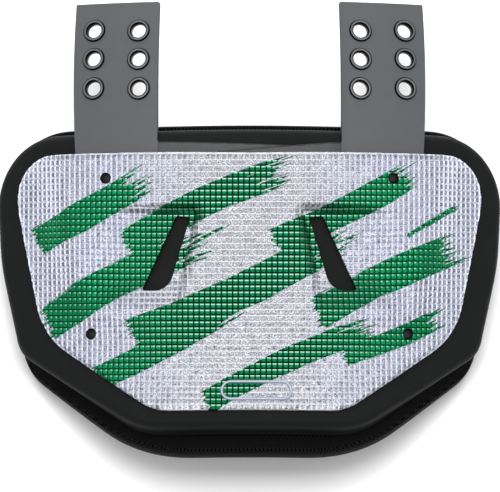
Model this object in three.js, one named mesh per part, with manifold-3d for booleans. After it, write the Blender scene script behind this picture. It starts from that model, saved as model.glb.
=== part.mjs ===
import * as THREE from "three";
import { mergeVertices } from "three/addons/utils/BufferGeometryUtils.js";
import Module from "manifold-3d";

// Football back plate: a padded guard for the lower back, bolted to the shoulder pads by two straps.
// Millimetres, +Z up. The plate lies on its pad, shell up, with its strap tips towards +Y.
// Every layer is laid out flat as (u, v, w): u across, v along, w out from the foam's front face.
// One bend then forms all layers over the same back-shaped mould.

const wasm = await Module();
wasm.setup();

// Mould: wrapped across the back, kicked out at the bottom, straps curling back at the top
const WRAP_RADIUS = 268;
const KICK_START = -20;
const KICK_RADIUS = 320;
const CURL_START = 80;
const CURL_RADIUS = 340;
const REST_TILT = THREE.MathUtils.degToRad(6);

// Layers, counted from the foam's front face
const GAP = 0.3;
const FOAM_THICKNESS = 14;
const PAD_EDGE_THICKNESS = 13;
const PAD_CROWN = 4;
const PAD_CROWN_REACH = 60;
const STRAP_THICKNESS = 2;
const SHELL_THICKNESS = 2.5;
const SHELL_RISE = 4.9;

// Half outlines from the top corner down, mirrored across the middle
const FOAM_CORNERS = [
  { u: 162.5, v: 90.6, round: 41 },
  { u: 157.6, v: 15.3, round: 125 },
  { u: 144, v: -38, round: 20 },
  { u: 64.4, v: -87.3, round: 48 },
];
const PAD_CORNERS = [
  { u: 176, v: 96.2, round: 50 },
  { u: 165, v: 17, round: 126 },
  { u: 146.8, v: -47, round: 35 },
  { u: 66, v: -99, round: 102 },
];
const SHELL_CORNERS = [
  { u: 142.8, v: 78, round: 23 },
  { u: 142.5, v: 47.8, round: 40 },
  { u: 125.7, v: -28.8, round: 48 },
  { u: 55, v: -77.9, round: 30 },
];
const SHELL_TOP_DIP = { u: 0, v: 75.1, round: 400 };

// Width over which the shell comes down to the foam, for each side that starts at that corner
const SHELL_FADES = [36, 36, 50, 70];

// Edge roundings: how far the outline is inset at each depth
const FOAM_EDGE = [
  { inset: 0, depth: -6 },
  { inset: 1, depth: -2.6 },
  { inset: 4, depth: -0.5 },
  { inset: 8, depth: 0.4 },
];
const PAD_EDGE = [
  { inset: 12, depth: -29.5 },
  { inset: 4, depth: -26 },
  { inset: 0, depth: -20 },
  { inset: 1.2, depth: -16.6 },
  { inset: 4, depth: -14 },
];

// Vents, and the scooped recess around each one
const VENT_CORNERS = [
  { u: 42.6, v: 38.6, round: 1.5 },
  { u: 63.2, v: -5.4, round: 1.4 },
  { u: 47.6, v: -6.3, round: 11 },
  { u: 34.6, v: 37.4, round: 1.2 },
];
const SCOOP = {
  depth: 4.2,
  innerWall: { from: 26, to: 31.5 },
  topWall: { from: 45.5, to: 39.5 },
  outerFade: { from: 4, to: 26 },
  lowerFade: { from: -20, to: 2 },
};

// Raised bare badge frame low on the shell
const BADGE = {
  u: 4,
  v: -66.3,
  length: 41.5,
  height: 12.2,
  endRound: 0.98,
  rim: 1.3,
  relief: 0.65,
  sink: 0.5,
};

// Straps: tip, inside corner and end of the arm that runs behind the shell's top edge
const STRAP = {
  tipOuter: 109.7,
  tipInner: 55.2,
  tip: 170,
  tipDrop: 0.6,
  footOuter: 103.6,
  footInner: 53.8,
  foot: 50,
};
const STRAP_ARM = {
  reach: 40,
  bottom: 58,
  left: { root: 83.4, end: 80 },
  right: { root: 82.9, end: 74.4 },
};
const STRAP_ROUNDS = { tipOuter: 0.8, tipInner: 1.8, root: 0.8, arm: 3, foot: 5 };
const ARM_RAMP = { from: 58, to: 45 };

// Eyelets, two columns of three on each strap
const EYELET = {
  bore: 4.3,
  barrel: 5,
  lift: 0.4,
  flange: 6.9,
  rim: 6.1,
  crest: 0.9,
  backFlange: 6.1,
  back: 0.6,
  sides: 12,
};
const EYELET_ROWS = [151.5, 133.9, 115.9];
const EYELET_SPREAD = { u: 14, v: 0.6 };
const STRAP_MIDDLE = { u: 78, v: 76, lean: 0.046 };

// Rivets that hold the shell: upper ones through the strap's foot, lower ones straight into the foam
const RIVET = {
  head: 3.05,
  shank: 2,
  reach: 7,
  shoulder: { radius: 1.8, rise: 0.5 },
  dome: 0.7,
  recess: 0.6,
  sides: 12,
};
const RIVET_PLACES = [
  { row: "upper", u: 83.7, v: 61.7, onStrap: true },
  { row: "lower", u: 93.7, v: -30, onStrap: false },
];

const SIDES = [
  { name: "left", sign: -1 },
  { name: "right", sign: 1 },
];

// Grids that the bent slabs are laid on, in stretches cut into equal steps
const SHELL_GRID = {
  across: [{ to: 25, steps: 2 }, { to: 33, steps: 2 }, { to: 66, steps: 4 }, { to: 146, steps: 5 }],
  bottom: -84,
  along: [{ to: KICK_START, steps: 4 }, { to: 39, steps: 5 }, { to: 46, steps: 2 }, { to: 82, steps: 2 }],
};
const FOAM_GRID = {
  across: [{ to: 176, steps: 11 }],
  bottom: -104,
  along: [{ to: KICK_START, steps: 4 }, { to: CURL_START, steps: 2 }, { to: 104, steps: 1 }],
};
const PAD_GRID = {
  across: [{ to: 176, steps: 11 }],
  bottom: -104,
  along: [{ to: KICK_START, steps: 4 }, { to: CURL_START, steps: 4 }, { to: 104, steps: 1 }],
};
const STRAP_GRID = {
  armSide: -45,
  across: [{ to: 44, steps: 5 }, { to: 59, steps: 2 }, { to: 113, steps: 3 }],
  bottom: 46,
  along: [{ to: CURL_START, steps: 1 }, { to: 174, steps: 5 }],
};
const BADGE_GRID = { across: 7, along: 3 };

// Fineness: longest straight step, turn of a rounded corner, and how close points are merged
const EDGE_STEP = 26;
const CORNER_TURN = THREE.MathUtils.degToRad(15);
const BADGE_TURN = THREE.MathUtils.degToRad(30);
const MERGE_DISTANCE = 1e-5;

// How far a cutter reaches past every layer
const CUT_REACH = 90;
const straightCut = [{ inset: 0, depth: 0 }];

const COLOURS = {
  shell: { color: 0xb8becc, roughness: 0.35, metalness: 0.6 },
  foam: { color: 0x232424, roughness: 0.8, metalness: 0 },
  pad: { color: 0x0c0c0d, roughness: 0.95, metalness: 0 },
  strap: { color: 0x686a6d, roughness: 0.5, metalness: 0 },
  eyelet: { color: 0x2a2b2d, roughness: 0.35, metalness: 0.8 },
  rivet: { color: 0x151515, roughness: 0.25, metalness: 0 },
};

function bend(u, v, w) {
  let along = v;
  let out = w;
  if (v < KICK_START) {
    const turn = (KICK_START - v) / KICK_RADIUS;
    along = KICK_START - (KICK_RADIUS - w) * Math.sin(turn);
    out = KICK_RADIUS - (KICK_RADIUS - w) * Math.cos(turn);
  } else if (v > CURL_START) {
    const turn = (v - CURL_START) / CURL_RADIUS;
    along = CURL_START + (CURL_RADIUS + w) * Math.sin(turn);
    out = (CURL_RADIUS + w) * Math.cos(turn) - CURL_RADIUS;
  }
  const swing = u / WRAP_RADIUS;
  const reach = WRAP_RADIUS + out;
  return new THREE.Vector3(reach * Math.sin(swing), along, reach * Math.cos(swing) - WRAP_RADIUS);
}

// Place on the bent surface, with X across, Y along and Z straight out of it
function seat(u, v, w) {
  const place = bend(u, v, w);
  const normal = bend(u, v, w + 1).sub(place).normalize();
  const up = bend(u, v + 1, w).sub(bend(u, v - 1, w)).normalize();
  const side = new THREE.Vector3().crossVectors(up, normal);
  return new THREE.Matrix4().makeBasis(side, up, normal).setPosition(place);
}

function smoothBetween(value, { from, to }) {
  const step = THREE.MathUtils.clamp((value - from) / (to - from), 0, 1);
  return step * step * (3 - 2 * step);
}

// Closed outline through corners, each rounded by an arc, with long straight stretches cut into steps
function roundedOutline(corners, turnStep = CORNER_TURN) {
  const at = (index) => {
    const corner = corners[(index + corners.length) % corners.length];
    return new THREE.Vector2(corner.u, corner.v);
  };
  const points = [];
  corners.forEach(({ round }, index) => {
    const corner = at(index);
    const back = at(index - 1).sub(corner).normalize();
    const ahead = at(index + 1).sub(corner).normalize();
    const half = Math.acos(back.dot(ahead)) / 2;
    const toCentre = back.clone().add(ahead).setLength(round / Math.sin(half));
    const centre = corner.clone().add(toCentre);
    const tangent = round / Math.tan(half);
    const start = corner.clone().addScaledVector(back, tangent);
    const sweep = Math.sign(ahead.cross(back)) * (Math.PI - 2 * half);
    const arcSteps = Math.max(1, Math.round(Math.abs(sweep) / turnStep));
    const before = points[points.length - 1] ?? start;
    points.push(...straightPoints(before, start));
    for (let turn = 0; turn <= arcSteps; turn += 1) {
      points.push(start.clone().rotateAround(centre, (sweep * turn) / arcSteps));
    }
  });
  points.push(...straightPoints(points[points.length - 1], points[0]));
  return THREE.ShapeUtils.isClockWise(points) ? points.reverse() : points;
}

// Points between two ends, without the ends themselves
function straightPoints(from, to) {
  const steps = Math.max(1, Math.round(from.distanceTo(to) / EDGE_STEP));
  return Array.from({ length: steps - 1 }, (_, index) => from.clone().lerp(to, (index + 1) / steps));
}

function mirrored(corners) {
  return corners.map(({ u, v, round }) => ({ u: -u, v, round })).reverse();
}

function indexedGeometry(positions, triangles) {
  const geometry = new THREE.BufferGeometry();
  geometry.setAttribute("position", new THREE.Float32BufferAttribute(positions, 3));
  geometry.setIndex(triangles);
  return geometry;
}

function toSolid(source) {
  const bare = source.clone();
  bare.deleteAttribute("normal");
  bare.deleteAttribute("uv");
  const merged = mergeVertices(bare, MERGE_DISTANCE);
  const vertProperties = new Float32Array(merged.attributes.position.array);
  const triVerts = new Uint32Array(merged.index.array);
  return new wasm.Manifold(new wasm.Mesh({ numProp: 3, vertProperties, triVerts }));
}

function toGeometry(solid) {
  const mesh = solid.getMesh();
  return indexedGeometry(Array.from(mesh.vertProperties), Array.from(mesh.triVerts));
}

// Tall bent prism over an outline, whose inset follows the rows from back to front
function cutter(outline, rows) {
  const first = rows[0];
  const last = rows[rows.length - 1];
  const lowest = { inset: first.inset, depth: -CUT_REACH };
  const highest = { inset: last.inset, depth: CUT_REACH };
  const levels = [lowest, ...rows, highest];
  const count = outline.length;
  const positions = [];
  for (const { inset, depth } of levels) {
    outline.forEach((point, index) => {
      const before = outline[(index + count - 1) % count];
      const after = outline[(index + 1) % count];
      const run = after.clone().sub(before).normalize();
      const u = point.x - run.y * inset;
      const v = point.y + run.x * inset;
      positions.push(...bend(u, v, depth));
    });
  }
  const triangles = [];
  for (let level = 0; level + 1 < levels.length; level += 1) {
    for (let index = 0; index < count; index += 1) {
      const low = level * count + index;
      const lowNext = level * count + ((index + 1) % count);
      triangles.push(low, lowNext, lowNext + count, low, lowNext + count, low + count);
    }
  }
  const top = (levels.length - 1) * count;
  for (const [a, b, c] of THREE.ShapeUtils.triangulateShape(outline, [])) {
    triangles.push(c, b, a, top + a, top + b, top + c);
  }
  return toSolid(indexedGeometry(positions, triangles));
}

// Values from a start through stretches, each cut into equal steps
function gridLines(start, stretches) {
  const values = [start];
  for (const { to, steps } of stretches) {
    const from = values[values.length - 1];
    for (let step = 1; step <= steps; step += 1) {
      values.push(from + ((to - from) * step) / steps);
    }
  }
  return values;
}

function bothWays(values) {
  const inner = values.filter((value) => value > 0);
  return [...inner.map((value) => -value).reverse(), 0, ...inner];
}

// Closed bent slab over a grid, between a back and a front height
function sheet(us, vs, back, front) {
  const positions = [];
  for (const height of [back, front]) {
    for (const v of vs) {
      for (const u of us) {
        positions.push(...bend(u, v, height(u, v)));
      }
    }
  }
  const layer = us.length * vs.length;
  const at = (i, j) => j * us.length + i;
  const triangles = [];
  const wall = (a, b) => triangles.push(a, b, b + layer, a, b + layer, a + layer);
  for (let j = 0; j + 1 < vs.length; j += 1) {
    for (let i = 0; i + 1 < us.length; i += 1) {
      const quad = [at(i, j), at(i + 1, j), at(i + 1, j + 1), at(i, j + 1)];
      const [a, b, c, d] = quad;
      triangles.push(a, c, b, a, d, c);
      triangles.push(a + layer, b + layer, c + layer, a + layer, c + layer, d + layer);
    }
    wall(at(us.length - 1, j), at(us.length - 1, j + 1));
    wall(at(0, j + 1), at(0, j));
  }
  for (let i = 0; i + 1 < us.length; i += 1) {
    wall(at(i, 0), at(i + 1, 0));
    wall(at(i + 1, vs.length - 1), at(i, vs.length - 1));
  }
  return toSolid(indexedGeometry(positions, triangles));
}

function roundCut(radius, length, place) {
  const geometry = new THREE.CylinderGeometry(radius, radius, length, RIVET.sides);
  geometry.rotateX(Math.PI / 2);
  geometry.applyMatrix4(place);
  return toSolid(geometry);
}

// Distance inside the edge between two corners, which run clockwise
function insideEdge(u, v, from, to) {
  const run = new THREE.Vector2(to.u - from.u, to.v - from.v).normalize();
  return (u - from.u) * run.y - (v - from.v) * run.x;
}

// Share of the shell's rise left at a place: none at its side and bottom edges, all of it inside
function shellFade(u, v) {
  const across = Math.abs(u);
  const bottom = SHELL_CORNERS[SHELL_CORNERS.length - 1];
  const corners = [...SHELL_CORNERS, { u: -bottom.u, v: bottom.v }];
  return SHELL_FADES.reduce((share, width, index) => {
    const inside = insideEdge(across, v, corners[index], corners[index + 1]);
    return share * smoothBetween(inside, { from: 0, to: width });
  }, 1);
}

function scoopDepth(u, v) {
  const across = Math.abs(u);
  const [ventTop, ventTip] = VENT_CORNERS;
  const pastVent = -insideEdge(across, v, ventTop, ventTip);
  const inner = smoothBetween(across, SCOOP.innerWall);
  const top = smoothBetween(v, SCOOP.topWall);
  const outer = 1 - smoothBetween(pastVent, SCOOP.outerFade);
  const lower = smoothBetween(v, SCOOP.lowerFade);
  return SCOOP.depth * inner * top * outer * lower;
}

function shellBack(u, v) {
  return GAP + Math.max(0, SHELL_RISE * shellFade(u, v) - scoopDepth(u, v));
}

function shellFront(u, v) {
  return shellBack(u, v) + SHELL_THICKNESS;
}

function badgeFrame() {
  const outline = (shrink) => {
    const long = BADGE.length / 2 - shrink;
    const tall = BADGE.height / 2 - shrink;
    const ends = [[long, tall], [long, -tall], [-long, -tall], [-long, tall]];
    const corners = ends.map(([u, v]) => ({ u: BADGE.u + u, v: BADGE.v + v, round: tall * BADGE.endRound }));
    return roundedOutline(corners, BADGE_TURN);
  };
  const us = gridLines(BADGE.u - BADGE.length, [{ to: BADGE.u + BADGE.length, steps: BADGE_GRID.across }]);
  const vs = gridLines(BADGE.v - BADGE.height, [{ to: BADGE.v + BADGE.height, steps: BADGE_GRID.along }]);
  const back = (u, v) => shellFront(u, v) - BADGE.sink;
  const front = (u, v) => shellFront(u, v) + BADGE.relief;
  const raised = sheet(us, vs, back, front).intersect(cutter(outline(0), straightCut));
  return raised.subtract(cutter(outline(BADGE.rim), straightCut));
}

function shellSolid() {
  const us = bothWays(gridLines(0, SHELL_GRID.across));
  const vs = gridLines(SHELL_GRID.bottom, SHELL_GRID.along);
  const outline = roundedOutline([SHELL_TOP_DIP, ...SHELL_CORNERS, ...mirrored(SHELL_CORNERS)]);
  let solid = sheet(us, vs, shellBack, shellFront).intersect(cutter(outline, straightCut));
  for (const corners of [VENT_CORNERS, mirrored(VENT_CORNERS)]) {
    solid = solid.subtract(cutter(roundedOutline(corners), straightCut));
  }
  for (const { sign } of SIDES) {
    for (const { u, v } of RIVET_PLACES) {
      solid = solid.subtract(roundCut(RIVET.head + GAP, 2 * CUT_REACH, seat(sign * u, v, 0)));
    }
  }
  return solid.add(badgeFrame());
}

function foamSolid() {
  const us = bothWays(gridLines(0, FOAM_GRID.across));
  const vs = gridLines(FOAM_GRID.bottom, FOAM_GRID.along);
  const outline = roundedOutline([...FOAM_CORNERS, ...mirrored(FOAM_CORNERS)]);
  let solid = sheet(us, vs, () => -FOAM_THICKNESS, () => 0).intersect(cutter(outline, FOAM_EDGE));
  const holeDepth = 2 * (RIVET.reach + GAP);
  for (const { sign } of SIDES) {
    for (const { u, v } of RIVET_PLACES) {
      solid = solid.subtract(roundCut(RIVET.shank + GAP, holeDepth, seat(sign * u, v, 0)));
    }
  }
  return solid;
}

// The pad is crowned: thin at its edges and fuller towards the wearer's back
function padBack(u, v) {
  const edges = [PAD_CORNERS[0].u - Math.abs(u), PAD_CORNERS[0].v - v, v - PAD_CORNERS[3].v];
  const swell = { from: 0, to: PAD_CROWN_REACH };
  const crown = edges.reduce((share, edge) => share * smoothBetween(edge, swell), 1);
  return -(FOAM_THICKNESS + GAP + PAD_EDGE_THICKNESS + PAD_CROWN * crown);
}

function padSolid() {
  const us = bothWays(gridLines(0, PAD_GRID.across));
  const vs = gridLines(PAD_GRID.bottom, PAD_GRID.along);
  const outline = roundedOutline([...PAD_CORNERS, ...mirrored(PAD_CORNERS)]);
  const front = () => -(FOAM_THICKNESS + GAP);
  return sheet(us, vs, padBack, front).intersect(cutter(outline, PAD_EDGE));
}

function eyeletPlaces(sign) {
  return EYELET_ROWS.flatMap((v) => {
    const middle = STRAP_MIDDLE.u + (v - STRAP_MIDDLE.v) * STRAP_MIDDLE.lean;
    const outer = { u: sign * (middle + EYELET_SPREAD.u), v: v + EYELET_SPREAD.v };
    const inner = { u: sign * (middle - EYELET_SPREAD.u), v: v - EYELET_SPREAD.v };
    return [outer, inner];
  });
}

const strapBack = GAP;
const strapFront = strapBack + STRAP_THICKNESS;

// The right arm climbs over the left one, which lies on the foam
function armLift(u, sign) {
  return sign > 0 ? (STRAP_THICKNESS + GAP) * smoothBetween(u, ARM_RAMP) : 0;
}

function strapSolid({ name, sign }) {
  const arm = STRAP_ARM[name];
  const corners = [
    { u: STRAP.tipOuter, v: STRAP.tip, round: STRAP_ROUNDS.tipOuter },
    { u: STRAP.tipInner, v: STRAP.tip - STRAP.tipDrop, round: STRAP_ROUNDS.tipInner },
    { u: STRAP.footInner, v: arm.root, round: STRAP_ROUNDS.root },
    { u: -STRAP_ARM.reach, v: arm.end, round: STRAP_ROUNDS.arm },
    { u: -STRAP_ARM.reach, v: STRAP_ARM.bottom, round: STRAP_ROUNDS.arm },
    { u: STRAP.footOuter, v: STRAP.foot, round: STRAP_ROUNDS.foot },
  ];
  const outline = roundedOutline(sign > 0 ? corners : mirrored(corners));
  const rightUs = gridLines(STRAP_GRID.armSide, STRAP_GRID.across);
  const us = sign > 0 ? rightUs : rightUs.map((u) => -u).reverse();
  const vs = gridLines(STRAP_GRID.bottom, STRAP_GRID.along);
  const back = (u) => strapBack + armLift(u, sign);
  const front = (u) => strapFront + armLift(u, sign);
  let solid = sheet(us, vs, back, front).intersect(cutter(outline, straightCut));
  for (const { u, v } of eyeletPlaces(sign)) {
    solid = solid.subtract(roundCut(EYELET.barrel + GAP, 2 * CUT_REACH, seat(u, v, 0)));
  }
  const upper = RIVET_PLACES[0];
  return solid.subtract(roundCut(RIVET.shank + GAP, 2 * CUT_REACH, seat(sign * upper.u, upper.v, 0)));
}

// Rolled ring with a flange on each face of the strap, turned about Z, middle of the strap at Z = 0
function eyeletGeometry() {
  const { bore, barrel, flange, rim, crest, backFlange, back, lift, sides } = EYELET;
  const face = STRAP_THICKNESS / 2 + lift;
  const profile = [
    [bore, -face - back],
    [backFlange, -face],
    [barrel, -face],
    [barrel, face],
    [flange, face],
    [rim, face + crest],
    [bore, face + crest],
    [bore, -face - back],
  ].map(([radius, height]) => new THREE.Vector2(radius, height));
  return new THREE.LatheGeometry(profile, sides).rotateX(Math.PI / 2);
}

// Domed head that fills the shell's hole, on a shank that ends in the foam
function rivetGeometry(seatHeight, top) {
  const { head, shank, reach, shoulder, dome, sides } = RIVET;
  const profile = [
    [0, -reach],
    [shank, -reach],
    [shank, seatHeight],
    [head, seatHeight],
    [head, top],
    [shoulder.radius, top + shoulder.rise],
    [0, top + dome],
  ].map(([radius, height]) => new THREE.Vector2(radius, height));
  return new THREE.LatheGeometry(profile, sides).rotateX(Math.PI / 2);
}

const plate = new THREE.Group();

function addPiece(name, geometry, colours, place = new THREE.Matrix4()) {
  const mesh = new THREE.Mesh(geometry, new THREE.MeshStandardMaterial(colours));
  mesh.name = name;
  mesh.applyMatrix4(place);
  plate.add(mesh);
}

addPiece("shell", toGeometry(shellSolid()), COLOURS.shell);
addPiece("front_foam", toGeometry(foamSolid()), COLOURS.foam);
addPiece("back_pad", toGeometry(padSolid()), COLOURS.pad);

for (const side of SIDES) {
  addPiece(`strap_${side.name}`, toGeometry(strapSolid(side)), COLOURS.strap);
  eyeletPlaces(side.sign).forEach(({ u, v }, index) => {
    const place = seat(u, v, (strapBack + strapFront) / 2);
    addPiece(`eyelet_${side.name}_${index + 1}`, eyeletGeometry(), COLOURS.eyelet, place);
  });
  for (const { row, u, v, onStrap } of RIVET_PLACES) {
    const seatHeight = (onStrap ? strapFront : 0) + GAP;
    const top = shellFront(u, v) - RIVET.recess;
    const place = seat(side.sign * u, v, 0);
    addPiece(`rivet_${row}_${side.name}`, rivetGeometry(seatHeight, top), COLOURS.rivet, place);
  }
}

// Lie the plate on the widest points and lower corners of its pad, with the middle of its box over the origin
plate.rotation.x = REST_TILT;
const box = new THREE.Box3().setFromObject(plate, true);
const middle = box.getCenter(new THREE.Vector3());
plate.position.set(-middle.x, -middle.y, -box.min.z);

const backPlate = new THREE.Group();
backPlate.add(plate);

export default backPlate;
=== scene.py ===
import math

import bmesh
import bpy
import numpy as np
from mathutils import Matrix, Vector
from mathutils.kdtree import KDTree


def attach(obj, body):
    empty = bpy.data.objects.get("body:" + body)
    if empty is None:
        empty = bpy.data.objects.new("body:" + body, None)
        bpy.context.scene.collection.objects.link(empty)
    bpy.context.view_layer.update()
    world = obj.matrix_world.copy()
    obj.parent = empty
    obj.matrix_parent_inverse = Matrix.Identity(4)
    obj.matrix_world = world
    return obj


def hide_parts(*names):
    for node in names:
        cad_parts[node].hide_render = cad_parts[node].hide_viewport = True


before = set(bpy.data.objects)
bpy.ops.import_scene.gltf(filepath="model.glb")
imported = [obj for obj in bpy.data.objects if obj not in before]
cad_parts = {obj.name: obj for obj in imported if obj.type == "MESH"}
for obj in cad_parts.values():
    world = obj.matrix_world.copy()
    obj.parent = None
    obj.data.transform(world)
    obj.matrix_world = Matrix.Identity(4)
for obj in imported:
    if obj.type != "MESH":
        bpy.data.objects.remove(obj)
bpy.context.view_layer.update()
scene = bpy.context.scene
print("frame loaded:", len(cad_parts), "nodes")

# Football back plate. Every layer is laid out flat in millimetres as (u, v, w): u across, v along,
# w out from the foam's front face. One bend then forms all layers over the same back-shaped mould.
mm = 0.001
layerGap = 0.3
sideSigns = {"left": -1, "right": 1}

mould = {
    "wrapRadius": 268,
    "kickStart": -20,
    "kickRadius": 320,
    "curlStart": 80,
    "curlRadius": 340,
    "restTilt": math.radians(6),
    "restShift": (0, 0, 0),      # from the mould to the row frame, read off the frame below
    "footSlack": 0.05,           # mm, points this near to a shank's lowest one are its foot
}


# Flat millimetres to metres in the row frame
def bendPoints(flat):
    u, v, w = np.asarray(flat, float).reshape(-1, 3).T
    kickTurn = np.maximum(mould["kickStart"] - v, 0) / mould["kickRadius"]
    curlTurn = np.maximum(v - mould["curlStart"], 0) / mould["curlRadius"]
    kickArm = mould["kickRadius"] - w
    curlArm = mould["curlRadius"] + w
    along = np.clip(v, mould["kickStart"], mould["curlStart"])
    along = along - kickArm * np.sin(kickTurn) + curlArm * np.sin(curlTurn)
    out = w + kickArm * (1 - np.cos(kickTurn)) - curlArm * (1 - np.cos(curlTurn))
    swing = u / mould["wrapRadius"]
    reach = mould["wrapRadius"] + out
    x = reach * np.sin(swing)
    z = reach * np.cos(swing) - mould["wrapRadius"]
    tiltCos, tiltSin = math.cos(mould["restTilt"]), math.sin(mould["restTilt"])
    turned = np.stack([x, along * tiltCos - z * tiltSin, along * tiltSin + z * tiltCos], axis=1)
    return (turned + mould["restShift"]) * mm


# And back again: where a point of a finished piece lies on the flat layout
def unbendPoints(points):
    x, y, z = (np.asarray(points, float).reshape(-1, 3) / mm - mould["restShift"]).T
    tiltCos, tiltSin = math.cos(mould["restTilt"]), math.sin(mould["restTilt"])
    along = y * tiltCos + z * tiltSin
    height = z * tiltCos - y * tiltSin + mould["wrapRadius"]
    u = np.arctan2(x, height) * mould["wrapRadius"]
    out = np.hypot(x, height) - mould["wrapRadius"]
    kickDrop, kickAcross = mould["kickStart"] - along, mould["kickRadius"] - out
    curlRise, curlReach = along - mould["curlStart"], mould["curlRadius"] + out
    v, w = along.copy(), out.copy()
    kicked, curled = kickDrop > 0, curlRise > 0
    v[kicked] = (mould["kickStart"] - np.arctan2(kickDrop, kickAcross) * mould["kickRadius"])[kicked]
    w[kicked] = (mould["kickRadius"] - np.hypot(kickDrop, kickAcross))[kicked]
    v[curled] = (mould["curlStart"] + np.arctan2(curlRise, curlReach) * mould["curlRadius"])[curled]
    w[curled] = (np.hypot(curlRise, curlReach) - mould["curlRadius"])[curled]
    return np.stack([u, v, w], axis=1)


# Matrix at a place on the bent layers, X across, Y along, Z straight out, for parts in millimetres
def seatMatrix(u, v, w):
    spots = [(u, v, w), (u, v, w + 1), (u, v + 1, w), (u, v - 1, w)]
    place, out, up, down = (Vector(spot) for spot in bendPoints(spots))
    normal = (out - place).normalized()
    along = (up - down).normalized()
    side = along.cross(normal)
    axes = Matrix((side, along, normal)).transposed().to_4x4()
    return Matrix.Translation(place) @ axes @ Matrix.Scale(mm, 4)


# The foot of a rivet's shank shows where the mould lies in the row frame
def findRestShift():
    u, v, onStrap = rivet["places"]["lower"]
    seat = seatMatrix(u, v, 0)
    spots = np.array([vertex.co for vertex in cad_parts["rivet_lower_right"].data.vertices])
    spots = np.unique(np.round(spots, 6), axis=0)
    depths = spots @ np.array(seat.to_3x3().col[2].normalized())
    foot = spots[depths < depths.min() + mould["footSlack"] * mm].mean(axis=0)
    return (foot - np.array(seat @ Vector((0, 0, -rivet["reach"])))) / mm


def smoothBetween(value, start, end):
    step = np.clip((np.asarray(value, float) - start) / (end - start), 0, 1)
    return step * step * (3 - 2 * step)


# Closed outline through corners (u, v, round), counter-clockwise, in short steps
def roundedOutline(corners, step=3.0, turn=math.radians(5)):
    points = []
    count = len(corners)
    spots = [np.array(corner[:2], float) for corner in corners]
    for index in range(count):
        corner, rounding = spots[index], corners[index][2]
        back = spots[index - 1] - corner
        ahead = spots[(index + 1) % count] - corner
        back, ahead = back / np.linalg.norm(back), ahead / np.linalg.norm(ahead)
        half = math.acos(np.clip(back @ ahead, -1, 1)) / 2
        middle = back + ahead
        centre = corner + middle / np.linalg.norm(middle) * rounding / math.sin(half)
        start = corner + back * rounding / math.tan(half) - centre
        sweep = np.sign(ahead[0] * back[1] - ahead[1] * back[0]) * (math.pi - 2 * half)
        arcSteps = max(2, round(max(abs(sweep) / turn, abs(sweep) * rounding / step)))
        for angle in np.linspace(0, sweep, arcSteps + 1):
            c, s = math.cos(angle), math.sin(angle)
            points.append(centre + (start[0] * c - start[1] * s, start[0] * s + start[1] * c))
    filled = []
    for here, there in zip(points, points[1:] + points[:1]):
        steps = max(1, round(np.linalg.norm(there - here) / step))
        filled += [here + (there - here) * share for share in np.arange(steps) / steps]
    outline = np.array(filled)
    after = np.roll(outline, -1, axis=0)
    turnSum = np.sum(outline[:, 0] * after[:, 1] - after[:, 0] * outline[:, 1])
    return outline if turnSum > 0 else outline[::-1]


def mirrored(corners):
    return [(-u, v, rounding) for u, v, rounding in reversed(corners)]


def insetOutline(outline, inset):
    run = np.roll(outline, -1, axis=0) - np.roll(outline, 1, axis=0)
    run /= np.linalg.norm(run, axis=1)[:, None]
    return outline + np.stack([-run[:, 1], run[:, 0]], axis=1) * inset


def insideOutline(u, v, outline):
    inside = np.zeros(u.shape, bool)
    for (u0, v0), (u1, v1) in zip(outline, np.roll(outline, -1, axis=0)):
        if v0 != v1:
            inside ^= ((v0 > v) != (v1 > v)) & (u < (u1 - u0) * (v - v0) / (v1 - v0) + u0)
    return inside


# How far each point lies from an outline, and nothing for those outside it unless they count as well
def depthInside(u, v, outline, outside=False):
    tree = KDTree(len(outline))
    for index, (u0, v0) in enumerate(outline):
        tree.insert((u0, v0, 0), index)
    tree.balance()
    far = np.array([tree.find((a, b, 0))[2] for a, b in zip(u, v)])
    return far if outside else np.where(insideOutline(u, v, outline), far, 0)


def meshPiece(name, points, faces):
    mesh = bpy.data.meshes.new(name)
    mesh.from_pydata(np.asarray(points, float).tolist(), [], faces)
    mesh.update()
    piece = bpy.data.objects.new(name, mesh)
    scene.collection.objects.link(piece)
    return piece


# Splits the faces into triangles, so that a cut through a warped face leaves no doubled ones
def splitFaces(piece):
    mesh = bmesh.new()
    mesh.from_mesh(piece.data)
    bmesh.ops.triangulate(mesh, faces=mesh.faces)
    mesh.to_mesh(piece.data)
    mesh.free()
    return piece


# Cuts or joins closed meshes, and takes the tools away
def shapePiece(piece, operation, *tools):
    for tool in tools:
        modifier = piece.modifiers.new("shape", "BOOLEAN")
        modifier.operation = operation
        modifier.solver = "MANIFOLD"
        modifier.object = tool
        graph = bpy.context.evaluated_depsgraph_get()
        made = bpy.data.meshes.new_from_object(piece.evaluated_get(graph))
        piece.modifiers.clear()
        worn, piece.data = piece.data, made
        bpy.data.meshes.remove(worn)
        bpy.data.meshes.remove(tool.data)
    piece.data.name = piece.name
    return piece


# Tall bent prism over an outline, whose inset follows the rows (inset, depth) from back to front
def prismTool(outline, rows=((0, 0),), reach=60, lift=lambda u: 0 * u):
    levels = [(rows[0][0], -reach), *rows, (rows[-1][0], reach)]
    count = len(outline)
    raised = lift(outline[:, 0])
    rings = [np.column_stack([insetOutline(outline, inset), depth + raised]) for inset, depth in levels]
    faces = [list(range(count))[::-1], [count * (len(levels) - 1) + index for index in range(count)]]
    for level in range(len(levels) - 1):
        for index in range(count):
            low, lowNext = level * count + index, level * count + (index + 1) % count
            faces.append([low, lowNext, lowNext + count, low + count])
    return meshPiece("tool", bendPoints(np.concatenate(rings)), faces)


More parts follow.
